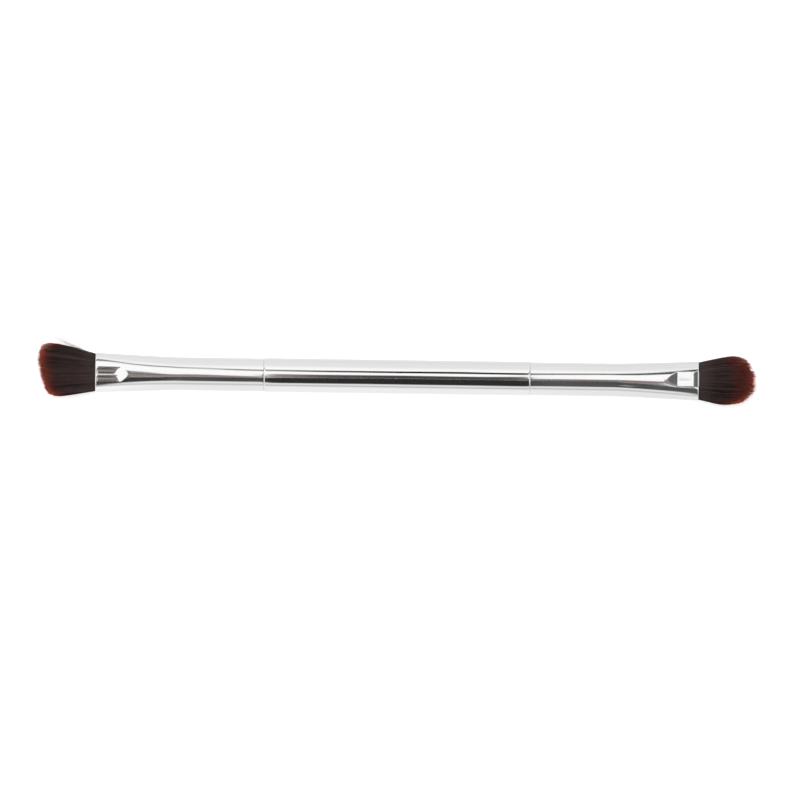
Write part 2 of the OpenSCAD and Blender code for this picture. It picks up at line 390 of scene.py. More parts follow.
@dataclass(frozen=True)
class PaleFloor:
    """White floor that keeps the shadow of what lies on it."""

    name: str
    colour: Colour
    glow: float
    uneven: float = 0.985
    grain_waves: Waves = (400.0, 400.0, 400.0)

    def material(self) -> bpy.types.Material:
        """Builds the floor: white where the camera or a reflection sees it, with its shadow.

        Returns:
            The floor's material.
        """
        shader = Shader(bpy.data.materials.new(self.name))
        grain = shader.noise(self.grain_waves, 2.0)
        tint = shader.mixed(grain, self.colour, shaded(self.colour, self.uneven))
        matte = shader.node("ShaderNodeBsdfDiffuse", {}, {"Color": tint}).outputs[0]
        glow = {"Color": WHITE, "Strength": self.glow}
        light = shader.node("ShaderNodeEmission", {}, glow).outputs[0]
        both = shader.node("ShaderNodeAddShader", {}, {0: matte, 1: light}).outputs[0]
        blend = shader.node("ShaderNodeMixShader", {}, {0: shader.seen(), 1: matte, 2: both})
        return shader.surface(blend.outputs[0])


@dataclass(frozen=True)
class CardTone:
    """Tone of a studio card, softening to another at its edges."""

    name: str
    colour: Colour
    around: Colour = WHITE

    def material(self) -> bpy.types.Material:
        """Builds the card's glow from the level and softness that its mesh carries.

        Returns:
            The card's material.
        """
        shader = Shader(bpy.data.materials.new(self.name))
        tone = shader.mixed(shader.measure("level"), BLACK, self.colour)
        tone = shader.mixed(shader.measure("soft"), tone, self.around)
        glow = shader.node("ShaderNodeEmission", {}, {"Color": tone, "Strength": 1.0})
        return shader.surface(glow.outputs[0])


# Mesh helpers


def mix(low: Any, high: Any, share: Any) -> Any:
    """The value at that share of the way from low to high."""
    return low + (high - low) * share


def soft_min(a: Any, b: Any, blend: float) -> Any:
    """The smaller of two values, rounded over where they cross."""
    near = np.maximum(blend - np.abs(a - b), 0.0) / blend
    return np.minimum(a, b) - near * near * blend / 4


def ring_faces(rings: int, count: int, closed: bool) -> list[Face]:
    """Quads between rings of points.

    Args:
        rings: how many rings there are.
        count: how many points each has.
        closed: whether the last ring joins the first.

    Returns:
        The quads, as point numbers.
    """
    faces = []
    for j in range(rings if closed else rings - 1):
        k = (j + 1) % rings
        for i in range(count):
            n = (i + 1) % count
            faces.append((j * count + i, j * count + n, k * count + n, k * count + i))
    return faces


def grid_faces(rows: int, count: int) -> list[Face]:
    """Quads of a sheet of points.

    Args:
        rows: how many rows of points there are.
        count: how many points each has.

    Returns:
        The quads, as point numbers.
    """
    return [
        (j * count + i, j * count + i + 1, (j + 1) * count + i + 1, (j + 1) * count + i)
        for j in range(rows - 1)
        for i in range(count - 1)
    ]


def make_piece(
    name: str,
    points: np.ndarray,
    faces: list[Face],
    material: bpy.types.Material,
    sharp_deg: float = 40.0,
) -> bpy.types.Object:
    """Makes a mesh object from points in millimetres.

    Args:
        name: the piece's name.
        points: its points, one a row.
        faces: its faces, as point numbers.
        material: its finish.
        sharp_deg: the angle from which an edge stays sharp.

    Returns:
        The new object, linked to the scene.
    """
    mesh = bpy.data.meshes.new(name)
    mesh.from_pydata((points * MM).tolist(), [], faces)
    mesh.validate()
    mesh.shade_smooth()
    mesh.set_sharp_from_angle(angle=math.radians(sharp_deg))
    mesh.materials.append(material)
    made = bpy.data.objects.new(name, mesh)
    bpy.context.scene.collection.objects.link(made)
    return made


def carry(piece: bpy.types.Object, measures: dict[str, np.ndarray]) -> None:
    """Gives each point of a piece's mesh the numbers that its finish reads.

    Args:
        piece: the piece.
        measures: the numbers under each name, one for each point.
    """
    for name, values in measures.items():
        layer = piece.data.attributes.new(name, "FLOAT", "POINT")
        layer.data.foreach_set("value", values.astype(np.float32))


def settle(piece: bpy.types.Object, node: str) -> bpy.types.Object:
    """Makes a piece ride on the part and stand for a node, whose solid it hides.

    Args:
        piece: the piece.
        node: the node that it stands for.

    Returns:
        The same piece.
    """
    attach(piece, "root")
    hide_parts(node)
    log.info("%s: %d faces, stands for %s", piece.name, len(piece.data.polygons), node)
    return piece


# Sub-assemblies


class End(Enum):
    """Which end of the brush a head is on."""

    ANGLED = "angled"
    DOMED = "domed"


@dataclass
class PressedTube:
    """The form of a ferrule: a round tube that is pressed to an oval at its mouth.

    Places along it are given as s, the distance from its mouth.
    """

    end: End
    mouth_w: float
    mouth_x: float
    seam_x: float
    roll_deg: float
    radius: float = 4.0
    wall: float = 0.3
    press_len: float = 20.0
    press_ease: float = 1.2

    # The flat on each face and the facet behind it
    pad_len: float = 5.2
    pad_w: float = 3.4
    facet_len: float = 2.7
    facet_run: float = 0.6
    crease_v: float = 0.0
    crease_back: float = 0.0
    skew: float = 0.0
    edge_blend: float = 0.07

    # The points round a section
    edge_spread_deg: float = 3.0
    steepest_deg: float = 89.0
    flank_steps: int = 24
    edge_steps: int = 8

    # What the press leaves in the flat
    groove_depth: float = 0.085
    groove_half_w: float = 0.93
    groove_mid: float = 0.55
    groove_start: float = 0.35
    groove_gap: float = 0.05
    groove_fade: float = 0.3
    mouth_dip: float = 0.09
    dip_len: float = 0.8

    def length(self) -> float:
        """Length from the seam to the mouth."""
        return self.mouth_x - self.seam_x

    def half_w(self, s: Any) -> Any:
        """Half-width of the tube at s from its mouth."""
        left = np.maximum(0.0, 1 - s / self.press_len) ** self.press_ease
        return self.radius + (self.mouth_w / 2 - self.radius) * left

    def half_h(self, s: Any) -> Any:
        """Half-height of the tube, whose girth stays that of the round tube.

        Args:
            s: distance from the mouth.

        Returns:
            The half-height at each place.
        """
        a = self.half_w(s)
        k = (a - self.radius) / self.radius
        return 2 * self.radius / (1 + k * k / 4) - a

    def flat_h(self, s: Any) -> Any:
        """Height at which a flat of the full width cuts the oval."""
        return self.half_h(s) * np.sqrt(1 - (self.pad_w / 2 / self.half_w(s)) ** 2)

    def die_h(self, s: Any, y: Any = 0.0) -> Any:
        """Height of the press's face: the flat, then the facet that rises behind it.

        Args:
            s: distance from the mouth.
            y: place across the face.

        Returns:
            The height at each place.
        """
        crease = self.crease(y)
        start, end = self.flat_h(0.0), self.flat_h(self.pad_len)
        top = self.half_h(self.pad_len + self.facet_len)
        pad = mix(start, end, s / self.pad_len)
        share = (s - crease) / (self.pad_len + self.facet_len - crease)
        rise = mix(end, top, share) + self.skew * y * share
        return np.where(s <= crease, np.minimum(pad, end), rise)

    def crease(self, y: Any) -> Any:
        """Distance from the mouth of the shallow V between the flat and the facet, at y across."""
        off_middle = np.minimum(np.abs(y), self.pad_w / 2) - self.pad_w / 4
        return self.pad_len + self.crease_back + self.crease_v * off_middle

    def flat_deg(self, s: float) -> float:
        """Angle at which the oval's flank meets the flat at s."""
        share = float(self.die_h(s) / self.half_h(s))
        return math.degrees(math.asin(min(share, math.sin(math.radians(self.steepest_deg)))))

    def angles(self, s: float) -> np.ndarray:
        """Angles of the points round a section, close together at the edges of its flats.

        Args:
            s: distance from the mouth.

        Returns:
            The angles in radians, from +Y towards +Z.
        """
        edge = self.flat_deg(s)
        spread = min(self.edge_spread_deg, (90 - edge) * 0.5)
        quarter = np.concatenate([
            np.linspace(0, edge - spread, self.flank_steps, endpoint=False),
            np.linspace(edge - spread, edge + spread, self.edge_steps, endpoint=False),
            np.linspace(edge + spread, 90, self.flank_steps, endpoint=False),
        ])
        back = 180 - np.append(quarter[1:], 90.0)[::-1]
        half = np.concatenate([quarter, back])
        return np.radians(np.concatenate([half, half + 180]))

    def section(self, s: float, t: np.ndarray, inset: float) -> np.ndarray:
        """Points of the pressed section.

        Args:
            s: distance from the mouth.
            t: the angle of each point.
            inset: how far the points lie inside the tube's outside.

        Returns:
            One point a row, with the mouth at 0 and the seam at +X.
        """
        a, b = self.half_w(s), self.half_h(s)
        out = np.stack([b * np.cos(t), a * np.sin(t)], 1)
        out /= np.linalg.norm(out, axis=1)[:, None]
        y = a * np.cos(t) - inset * out[:, 0]
        z = b * np.sin(t) - inset * out[:, 1]
        limit = self.die_h(s, np.clip(y, -self.pad_w / 2, self.pad_w / 2)) - inset
        if inset < self.wall:
            limit = limit - self.press_marks(s, y)
        if s < self.pad_len + self.facet_len + self.facet_run:
            z = np.sign(z) * soft_min(np.abs(z), limit, self.edge_blend)
        return np.stack([np.full_like(y, s), y, z], 1)

    def press_marks(self, s: float, y: np.ndarray) -> np.ndarray:
        """Depth of what the press leaves in the flat.

        Args:
            s: distance from the mouth.
            y: places across the flat.

        Returns:
            Two shallow grooves side by side, and a dip towards the mouth.
        """
        start = (s - self.groove_start) / self.groove_start
        end = (self.crease(y) - self.groove_gap - s) / self.groove_fade
        fade = np.clip(start, 0, 1) * np.clip(end, 0, 1)
        grooves = np.zeros_like(y)
        for middle in (self.groove_mid, self.groove_mid - 2 * self.groove_half_w):
            share = (y - middle) / self.groove_half_w
            grooves += np.maximum(0.0, 1 - share * share)
        dip = max(0.0, 1 - s / self.dip_len) ** 2
        return self.groove_depth * fade * grooves + self.mouth_dip * dip

    def place(self, points: np.ndarray) -> np.ndarray:
        """Moves points from the head's own frame to its end of the handle, and rolls them.

        Args:
            points: one a row, with the mouth at 0 and the seam at +X.

        Returns:
            The points in the part's frame, in millimetres.
        """
        x, y, z = points.T
        along = x - self.mouth_x if self.end is End.ANGLED else self.mouth_x - x
        c, s = math.cos(math.radians(self.roll_deg)), math.sin(math.radians(self.roll_deg))
        return np.stack([along, c * y - s * z, c * z + s * y], 1)

    def outward(self, faces: list[Face]) -> list[Face]:
        """Faces of a form drawn in the head's own frame, turned outward on its end."""
        return [f[::-1] for f in faces] if self.end is End.DOMED else faces


@dataclass
class Ferrule:
    """Bright tube with a pressed mouth, a rounded lip and press marks above and below."""

    form: PressedTube
    lip_r: float = 0.28
    lip_steps: int = 7
    seam_edge_r: float = 0.12
    seam_steps: int = 4
    seam_ring: float = 0.2

    def stations(self) -> list[float]:
        """Spaces the rings between the lip and the seam, close where the press bends the tube.

        Returns:
            The distance of each ring from the mouth.
        """
        pad, press = self.form.pad_len, self.form.press_len
        facet_end = pad + self.form.facet_len
        seam_edge = self.form.length() - self.seam_edge_r
        dip = np.linspace(self.lip_r, 1.0, 14, endpoint=False)
        flat = np.linspace(1.0, pad - 0.4, 8, endpoint=False)
        groove_ends = np.linspace(pad - 0.4, pad - 0.25, 4)
        crease = np.linspace(pad - 0.2, pad + 0.2, 9)
        facet = np.linspace(pad + 0.25, facet_end - 0.15, 26)
        facet_edge = np.linspace(facet_end - 0.1, facet_end + 0.5, 9)
        oval = np.linspace(facet_end + 0.8, press, 26)
        plain = np.linspace(press + 1.0, seam_edge - self.seam_ring, 14)
        return [*dip, *flat, *groove_ends, *crease, *facet, *facet_edge, *oval, *plain, seam_edge]

    def rings(self) -> np.ndarray:
        """Draws the rings out along the outside of the shell and back along its inside.

        Returns:
            Their points in the head's own frame, one a row.
        """
        form, length = self.form, self.form.length()
        rings = []
        for turn in np.linspace(90, 0, self.lip_steps, endpoint=False):
            s = self.lip_r * (1 - math.cos(math.radians(90 - turn)))
            rings.append((s, self.lip_r * (1 - math.cos(math.radians(turn)))))
        rings += [(s, 0.0) for s in self.stations()]
        for turn in np.linspace(0, 90, self.seam_steps + 1)[1:]:
            s = length - self.seam_edge_r * (1 - math.sin(math.radians(turn)))
            rings.append((s, self.seam_edge_r * (1 - math.cos(math.radians(turn)))))
        inside = [length, *self.stations()[::-1][::2], 0.1, 0.0]
        rings += [(s, form.wall) for s in inside]
        return np.concatenate([form.section(s, form.angles(s), inset) for s, inset in rings])

    def build(self, metal: bpy.types.Material) -> bpy.types.Object:
        """Builds the shell and puts it on its end of the brush.

        Args:
            metal: its finish.

        Returns:
            The shell.
        """
        points = self.rings()
        count = len(self.form.angles(0.0))
        faces = self.form.outward(ring_faces(len(points) // count, count, True))
        name = f"{self.form.end.value}_ferrule"
        piece = make_piece(f"{name}_shell", self.form.place(points), faces, metal)
        return settle(piece, name)


@dataclass
class HandleSleeve:
    """Bright round tube between the two seams."""

    length: float
    radius: float
    wall: float = 0.4
    edge_r: float = 0.3
    edge_steps: int = 7
    edge_ring: float = 0.2
    round_steps: int = 256
    along: int = 12

    def profile(self) -> list[tuple[float, float]]:
        """Draws the tube's section along its outside and back through its bore.

        Returns:
            The section's points, as (x, radius).
        """
        half, bore = self.length / 2, self.radius - self.wall
        ends = [
            (self.edge_r * (1 - math.sin(turn)), self.radius - self.edge_r * (1 - math.cos(turn)))
            for turn in np.radians(np.linspace(90, 0, self.edge_steps))
        ]
        left = [(-half + x, r) for x, r in ends]
        near = half - self.edge_r - self.edge_ring
        middle = [(x, self.radius) for x in np.linspace(-near, near, self.along)]
        right = [(half - x, r) for x, r in ends[::-1]]
        bore_line = [(x, bore) for x in np.linspace(half, -half, self.along)]
        return left + middle + right + bore_line

    def build(self, metal: bpy.types.Material) -> bpy.types.Object:
        """Turns the section round the brush's axis.

        Args:
            metal: its finish.

        Returns:
            The sleeve.
        """
        turns = np.linspace(0, 2 * math.pi, self.round_steps, endpoint=False)
        points = np.concatenate([
            np.stack([np.full_like(turns, x), r * np.cos(turns), r * np.sin(turns)], 1)
            for x, r in self.profile()
        ])
        faces = ring_faces(len(points) // self.round_steps, self.round_steps, True)
        piece = make_piece("handle_sleeve_tube", points, faces, metal)
        return settle(piece, "handle_sleeve")


@dataclass
class Gathering:
    """Groups of fibres that lean together. Its arrays have one row for each fibre.

    u and v are the middle of the fibre's group, across the mouth and through it, group is the
    group's number, and pull is how far the fibre leans to that middle.
    """

    u: np.ndarray
    v: np.ndarray
    group: np.ndarray
    pull: np.ndarray

    def lean(self, u: np.ndarray, v: np.ndarray, share: np.ndarray) -> tuple[np.ndarray, np.ndarray]:
        """Moves places to the middle of their group, by that share of the pull."""
        pull = self.pull[:, None] * share
        return mix(u, self.u[:, None], pull), mix(v, self.v[:, None], pull)


@dataclass
class FibreLay:
    """How a tuft's fibres lie. Its arrays have one row for each fibre.

    u and v are where the fibre starts across the mouth and through it, reach is where it ends,
    rim is where it would end in the middle of the thickness, and loose marks the strays.
    """

    u: np.ndarray
    v: np.ndarray
    reach: np.ndarray
    rim: np.ndarray
    loose: np.ndarray
    locks: Gathering
    strands: Gathering


@dataclass
class Tuft:
    """A head of fibres: a dark heart with its root in the ferrule, and fibres over it.

    Places across the mouth are given as u, from -1 on the short side to 1 on the long side,
    places through it as v, from -1 below to 1 above, and distances from it as d.
    """

    form: PressedTube
    length: float
    long_w: float
    short_w: float
    long_shoulder: float
    short_shoulder: float
    slant: float
    corner: float
    long_fan: float
    short_fan: float
    face_drop: float
    tip_thick: float
    dye_len: float
    dye_low: float
    strays: int
    seed: int
    slant_from: float = 0.3
    belly: float = 2.9
    belly_at: float = 4.2

    # The heart, with its root and the waist that the thread lies in
    root_gap: float = 0.05
    root_len: float = 11.0
    root_end: float = 0.3
    waist: tuple[float, float, float] = (8.8, 10.4, 0.43)
    heart_gap: float = 0.6
    heart_slim: float = 0.08
    heart_tone: float = 0.4
    heart_steps: int = 128
    heart_rings_along: int = 12
    heart_rounds: tuple[float, ...] = (0.9, 0.75, 0.55, 0.3)

    # The fibres, and the locks and strands in which they lean together
    count: int = 7400
    outer_share: float = 0.66
    outer_depth: float = 0.16
    inner_reach: float = 0.93
    locks: int = 200
    lock_pull: tuple[float, float] = (0.032, 0.104)
    lock_ragged: float = 0.1
    strands: int = 560
    strand_pull: tuple[float, float] = (0.1, 0.4)
    fibre_ragged: float = 0.38
    worn: float = 0.33
    slit_u: float | None = None
    slit_half_w: float = 0.12
    slit_depth: float = 0.9
    slit_share: float = 0.6
    drift: float = 0.1
    sink: float = 0.35
    root_r: float = 0.05
    tip_r: float = 0.022
    sides: int = 3
    steps: tuple[float, ...] = (0.0, 0.3, 0.6, 0.85, 1.0)

    # The loose fibres
    stray_u: tuple[float, float] = (0.93, 1.0)
    stray_v: tuple[float, float] = (-0.5, 0.5)
    stray_reach: tuple[float, float] = (8.5, 13.0)
    stray_drift: tuple[float, float] = (0.8, 3.9)
    stray_r: float = 0.025
    stray_pale: float = 0.75

    # The dyed tips
    dye_min: float = 0.8
    side_dye: float = 0.3
    rim_share: float = 0.4
    pale_len: float = 0.7
    pale_tip: float = 0.4

    def name(self) -> str:
        """The name of the solid that the tuft stands for."""
        return f"{self.form.end.value}_tuft"

    def inset(self) -> float:
        """Distance of the root's surface inside the ferrule's outside."""
        return self.form.wall + self.root_gap

    def free_len(self, u: np.ndarray, v: Any) -> np.ndarray:
        """Gives the fibres the lengths that shape the head's slant or dome.

        Args:
            u: where each fibre starts across the mouth.
            v: where it starts through the mouth.

        Returns:
            How far each fibre reaches from the mouth.
        """
        top = self.length - self.slant * np.maximum(0.0, self.slant_from - u)
        low = np.where(u > 0, self.long_shoulder, self.short_shoulder)
        dome = np.sqrt(np.maximum(0.0, 1 - np.abs(u) ** self.corner))
        return mix(low, top, dome) - self.face_drop * np.abs(v) ** 2.2 * dome

    def half_w(self, u: np.ndarray, d: np.ndarray) -> np.ndarray:
        """Half-width of the head, which fans out on each side.

        Args:
            u: places across the head, whose signs say the side.
            d: their distances from the mouth.

        Returns:
            The half-width at each place.
        """
        start = self.form.mouth_w / 2 - self.inset()
        reach = np.where(u > 0, self.long_w, self.short_w)
        fan = np.where(u > 0, self.long_fan, self.short_fan)
        open_share = 1 - np.maximum(0.0, 1 - np.maximum(d, 0.0) / fan) ** 1.5
        return mix(start, reach, open_share)

    def half_h(self, d: np.ndarray) -> np.ndarray:
        """Half-thickness of the head, which swells out of the mouth and thins towards the tip.

        Args:
            d: distances from the mouth.

        Returns:
            The half-thickness at each place.
        """
        start = float(self.form.die_h(0.0)) - self.inset()
        swell = mix(start, self.belly, np.sin(np.pi / 2 * np.clip(d / self.belly_at, 0, 1)))
        past = np.clip((d - self.belly_at) / (self.length - self.belly_at), 0, None)
        return np.where(d < self.belly_at, swell, mix(self.belly, self.tip_thick, past**1.6))

    def heart_rings(self, t: np.ndarray) -> np.ndarray:
        """Draws the heart's rings from its root, over the waist for the thread, to its tip.

        Args:
            t: the angle of each point of a ring.

        Returns:
            The rings in the head's own frame, as (ring, point, xyz).
        """
        pad_end = self.form.pad_len
        facet_end = pad_end + self.form.facet_len
        start, end, depth = self.waist
        root = [
            (self.root_len, 0.0), (end, 0.0), (end, depth), (start, depth), (start, 0.0),
            (facet_end, 0.0), (pad_end, 0.0), (self.root_end, 0.0),
        ]
        rings = [self.form.section(s, t, self.inset() + inset) for s, inset in root]
        shares = [(1.0, f) for f in np.linspace(0.02, 1, self.heart_rings_along)]
        shares += [(r, 1.0) for r in self.heart_rounds]
        for r, f in shares:
            u, v = np.cos(t), r * np.sin(t)
            d = f * (self.free_len(u, v) - self.heart_gap)
            slim = 1 - self.heart_slim * f
            rings.append(np.stack([-d, u * self.half_w(u, d) * slim, v * self.half_h(d) * slim], 1))
        return np.array(rings)

    def heart_faces(self, rings: int) -> list[Face]:
        """Joins the heart's rings, and closes it behind the root and over the tip.

        Args:
            rings: how many rings there are.

        Returns:
            The faces, as point numbers.
        """
        count, half = self.heart_steps, self.heart_steps // 2
        low = (rings - 1) * count
        faces = [f[::-1] for f in ring_faces(rings, count, False)]
        faces.append(tuple(range(count)))
        for i in range(1, half - 1):
            faces.append((low + i, low + i + 1, low + count - i - 1, low + count - i))
        faces.append((low, low + 1, low + count - 1))
        faces.append((low + half - 1, low + half, low + half + 1))
        return faces

    def heart(self, fibre: bpy.types.Material) -> bpy.types.Object:
        """Builds the dark heart of the tuft with its root.

        Args:
            fibre: its finish.

        Returns:
            The heart.
        """
        t = np.linspace(0, 2 * math.pi, self.heart_steps, endpoint=False)
        rings = self.heart_rings(t)
        points = rings.reshape(-1, 3)
        faces = self.form.outward(self.heart_faces(len(rings)))
        piece = make_piece(f"{self.name()}_heart", self.form.place(points), faces, fibre)
        from_root = np.maximum(0.0, -points[:, 0])
        rim = np.tile(self.free_len(np.cos(t), 0.0), len(rings))
        carry(piece, {
            "tone": np.full(len(points), self.heart_tone),
            "from_tip": np.maximum(self.dye_min, rim - from_root),
            "dye_len": np.full(len(points), self.dye_len),
            "from_root": from_root,
            "pale": np.zeros(len(points)),
        })
        return settle(piece, self.name())

    def starts(self, draw: np.random.Generator) -> tuple[np.ndarray, np.ndarray]:
        """Where the fibres start, as u across the mouth and v through it.

        Args:
            draw: the source of random numbers.

        Returns:
            u and v of each fibre, most of them near the tuft's surface.
        """
        t = np.linspace(0, 2 * math.pi, 2001)
        speed = np.hypot(self.long_w * np.sin(t), self.belly * np.cos(t))
        walk = np.concatenate([[0], np.cumsum((speed[1:] + speed[:-1]) / 2)])
        outer = int(self.count * self.outer_share)
        inner = self.count - outer
        at = np.interp(draw.random(outer) * walk[-1], walk, t)
        rho = 1 - self.outer_depth * draw.random(outer) ** 1.4
        at_in = draw.random(inner) * 2 * math.pi
        rho_in = self.inner_reach * np.sqrt(draw.random(inner))
        at, rho = np.concatenate([at, at_in]), np.concatenate([rho, rho_in])
        return rho * np.cos(at), rho * np.sin(at)

    def gathered(
        self, u: np.ndarray, v: np.ndarray, groups: int, draw: np.random.Generator
    ) -> Gathering:
        """Sorts the fibres into groups, each round a fibre that is picked by chance.

        Args:
            u: where each fibre starts across the mouth.
            v: where it starts through the mouth.
            groups: how many groups there are.
            draw: the source of random numbers.

        Returns:
            The groups, with no pull yet.
        """
        chosen = draw.choice(len(u), groups, replace=False)
        across = (u[:, None] - u[chosen]) * self.long_w
        through = (v[:, None] - v[chosen]) * self.belly
        group = np.argmin(across**2 + through**2, axis=1)
        return Gathering(u[chosen][group], v[chosen][group], group, np.zeros(len(u)))

    def ragged(
        self, u: np.ndarray, locks: Gathering, strands: Gathering, draw: np.random.Generator
    ) -> np.ndarray:
        """Varies the fibres' lengths by locks and one by one, and shortens them in a slit.

        Args:
            u: where each fibre starts across the mouth.
            locks: the locks.
            strands: the strands, of which some are short in the slit.
            draw: the source of random numbers.

        Returns:
            What each fibre's length gains.
        """
        gain = self.lock_ragged * draw.normal(size=self.locks)[locks.group]
        gain += self.fibre_ragged * draw.normal(size=len(u))
        short = draw.random(self.strands)[strands.group] < self.slit_share
        if self.slit_u is not None:
            gain -= (np.abs(u - self.slit_u) < self.slit_half_w) * short * self.slit_depth
        return gain - self.worn

    def lay(self, draw: np.random.Generator) -> FibreLay:
        """Lays the fibres out in strands and locks, with a few loose ones.

        Args:
            draw: the source of random numbers.

        Returns:
            How the fibres lie.
        """
        u, v = self.starts(draw)
        locks = self.gathered(u, v, self.locks, draw)
        strands = self.gathered(u, v, self.strands, draw)
        locks.pull = draw.uniform(*self.lock_pull, self.locks)[locks.group]
        strands.pull = draw.uniform(*self.strand_pull, self.strands)[strands.group]
        ragged = self.ragged(u, locks, strands, draw)
        reach = self.free_len(u, v) + ragged
        rim = self.free_len(u, 0.0) + ragged
        loose = np.arange(len(u)) < self.strays
        u[loose] = draw.uniform(*self.stray_u, self.strays)
        v[loose] = draw.uniform(*self.stray_v, self.strays)
        locks.pull[loose] = 0.0
        strands.pull[loose] = 0.0
        reach = np.where(loose, draw.uniform(*self.stray_reach, len(u)), reach)
        return FibreLay(u, v, reach, rim, loose, locks, strands)

    def paths(self, lay: FibreLay, draw: np.random.Generator) -> np.ndarray:
        """Bends each fibre from the mouth to its tip.

        Args:
            lay: how the fibres lie.
            draw: the source of random numbers.

        Returns:
            Places along each fibre in the head's own frame, as (fibre, step, xyz).
        """
        steps = np.array(self.steps)[None, :]
        drift_y, drift_z = draw.normal(size=(2, len(lay.u))) * self.drift
        drift_y = np.where(lay.loose, draw.uniform(*self.stray_drift, len(lay.u)), drift_y)
        u, v = lay.locks.lean(lay.u[:, None], lay.v[:, None], steps**2)
        u, v = lay.strands.lean(u, v, steps**1.3)
        d = steps * (lay.reach[:, None] + self.sink) - self.sink
        y = u * self.half_w(u, d) + drift_y[:, None] * np.maximum(0.0, steps - 0.2) ** 1.3
        z = v * self.half_h(d) + drift_z[:, None] * steps**2
        return np.stack([-d, y, z], 2)

    def tubes(
        self, lay: FibreLay, paths: np.ndarray, draw: np.random.Generator
    ) -> tuple[np.ndarray, list[Face]]:
        """Makes each fibre a thin tube that tapers to its tip.

        Args:
            lay: how the fibres lie.
            paths: places along each fibre.
            draw: the source of random numbers.

        Returns:
            The tubes' points, one a row, and their faces.
        """
        count, made = len(lay.u), len(self.steps) * self.sides
        thick = mix(self.root_r, self.tip_r, np.array(self.steps)[None, :] ** 2.2)
        thick = thick * draw.uniform(0.75, 1.2, count)[:, None]
        thick[lay.loose] = self.stray_r
        corners = np.arange(self.sides) * 2 * math.pi / self.sides
        turn = draw.random(count)[:, None] * 2 * math.pi + corners
        ring = np.stack([np.zeros_like(turn), np.cos(turn), np.sin(turn)], 2)
        points = paths[:, :, None, :] + thick[:, :, None, None] * ring[:, None, :, :]
        one = [f[::-1] for f in ring_faces(len(self.steps), self.sides, False)]
        one += [tuple(range(self.sides)), tuple(range(made - 1, made - 1 - self.sides, -1))]
        faces = [tuple(made * k + i for i in f) for k in range(count) for f in one]
        return points.reshape(-1, 3), faces

    def shades(
        self, lay: FibreLay, paths: np.ndarray, draw: np.random.Generator
    ) -> dict[str, np.ndarray]:
        """Works out the measures that the fibres' finish reads.

        Args:
            lay: how the fibres lie.
            paths: places along each fibre.
            draw: the source of random numbers.

        Returns:
            The numbers under each name, one for each point of the tubes.
        """
        u, d = lay.u, -paths[:, :, 0]
        lock_tone = draw.random(self.locks)[lay.locks.group]
        strand_tone = draw.random(self.strands)[lay.strands.group]
        tone = 0.15 * lock_tone + 0.5 * strand_tone + 0.35 * draw.random(len(u))
        dye = mix(self.dye_len, self.dye_low, np.clip(-u, 0, 1)) * draw.uniform(0.55, 1.35, len(u))
        dye *= mix(0.9, 1.1, lock_tone)
        dye *= 1 + np.where(u > 0, 3.0, 1.0) * self.side_dye * np.abs(u) ** 8
        corner = draw.random(len(u)) < 0.45 * np.clip(4 * u - 2.6, 0, 1)
        near_tip = np.clip(1 - (lay.reach[:, None] - d) / self.pale_len, 0, 1)
        stray_pale = self.stray_pale * np.clip(3 * np.array(self.steps) - 0.6, 0, 1)
        pale = np.where(lay.loose[:, None], stray_pale, corner[:, None] * near_tip * self.pale_tip)
        by_step = {
            "tone": np.broadcast_to(tone[:, None], d.shape),
            "from_tip": mix(lay.reach, lay.rim, self.rim_share)[:, None] - d,
            "dye_len": np.broadcast_to(dye[:, None], d.shape),
            "from_root": np.maximum(d, 0),
            "pale": pale,
        }
        return {name: np.repeat(row, self.sides, axis=1).reshape(-1) for name, row in by_step.items()}

    def fibres(self, fibre: bpy.types.Material) -> bpy.types.Object:
        """Builds the fibres that cover the heart.

        Args:
            fibre: their finish.

        Returns:
            The fibres, as one piece.
        """
        draw = np.random.default_rng(self.seed)
        lay = self.lay(draw)
        paths = self.paths(lay, draw)
        points, faces = self.tubes(lay, paths, draw)
        placed, faces = self.form.place(points), self.form.outward(faces)
        piece = make_piece(f"{self.name()}_fibres", placed, faces, fibre, sharp_deg=180.0)
        carry(piece, self.shades(lay, paths, draw))
        return settle(piece, self.name())


@dataclass
class InnerParts:
    """The core, resin and thread that are sealed inside and keep their solids' form."""

    nodes: dict[str, bpy.types.Object]

    def dress(self, finishes: dict[str, bpy.types.Material]) -> None:
        """Gives each solid the finish whose key ends the solid's name.

        Args:
            finishes: the finish under each ending.
        """
        for name, solid in self.nodes.items():
            for ending, material in finishes.items():
                if name.endswith(ending):
                    solid.data.materials.clear()
                    solid.data.materials.append(material)
                    log.info("%s: keeps its solid, in %s", name, material.name)


# Studio


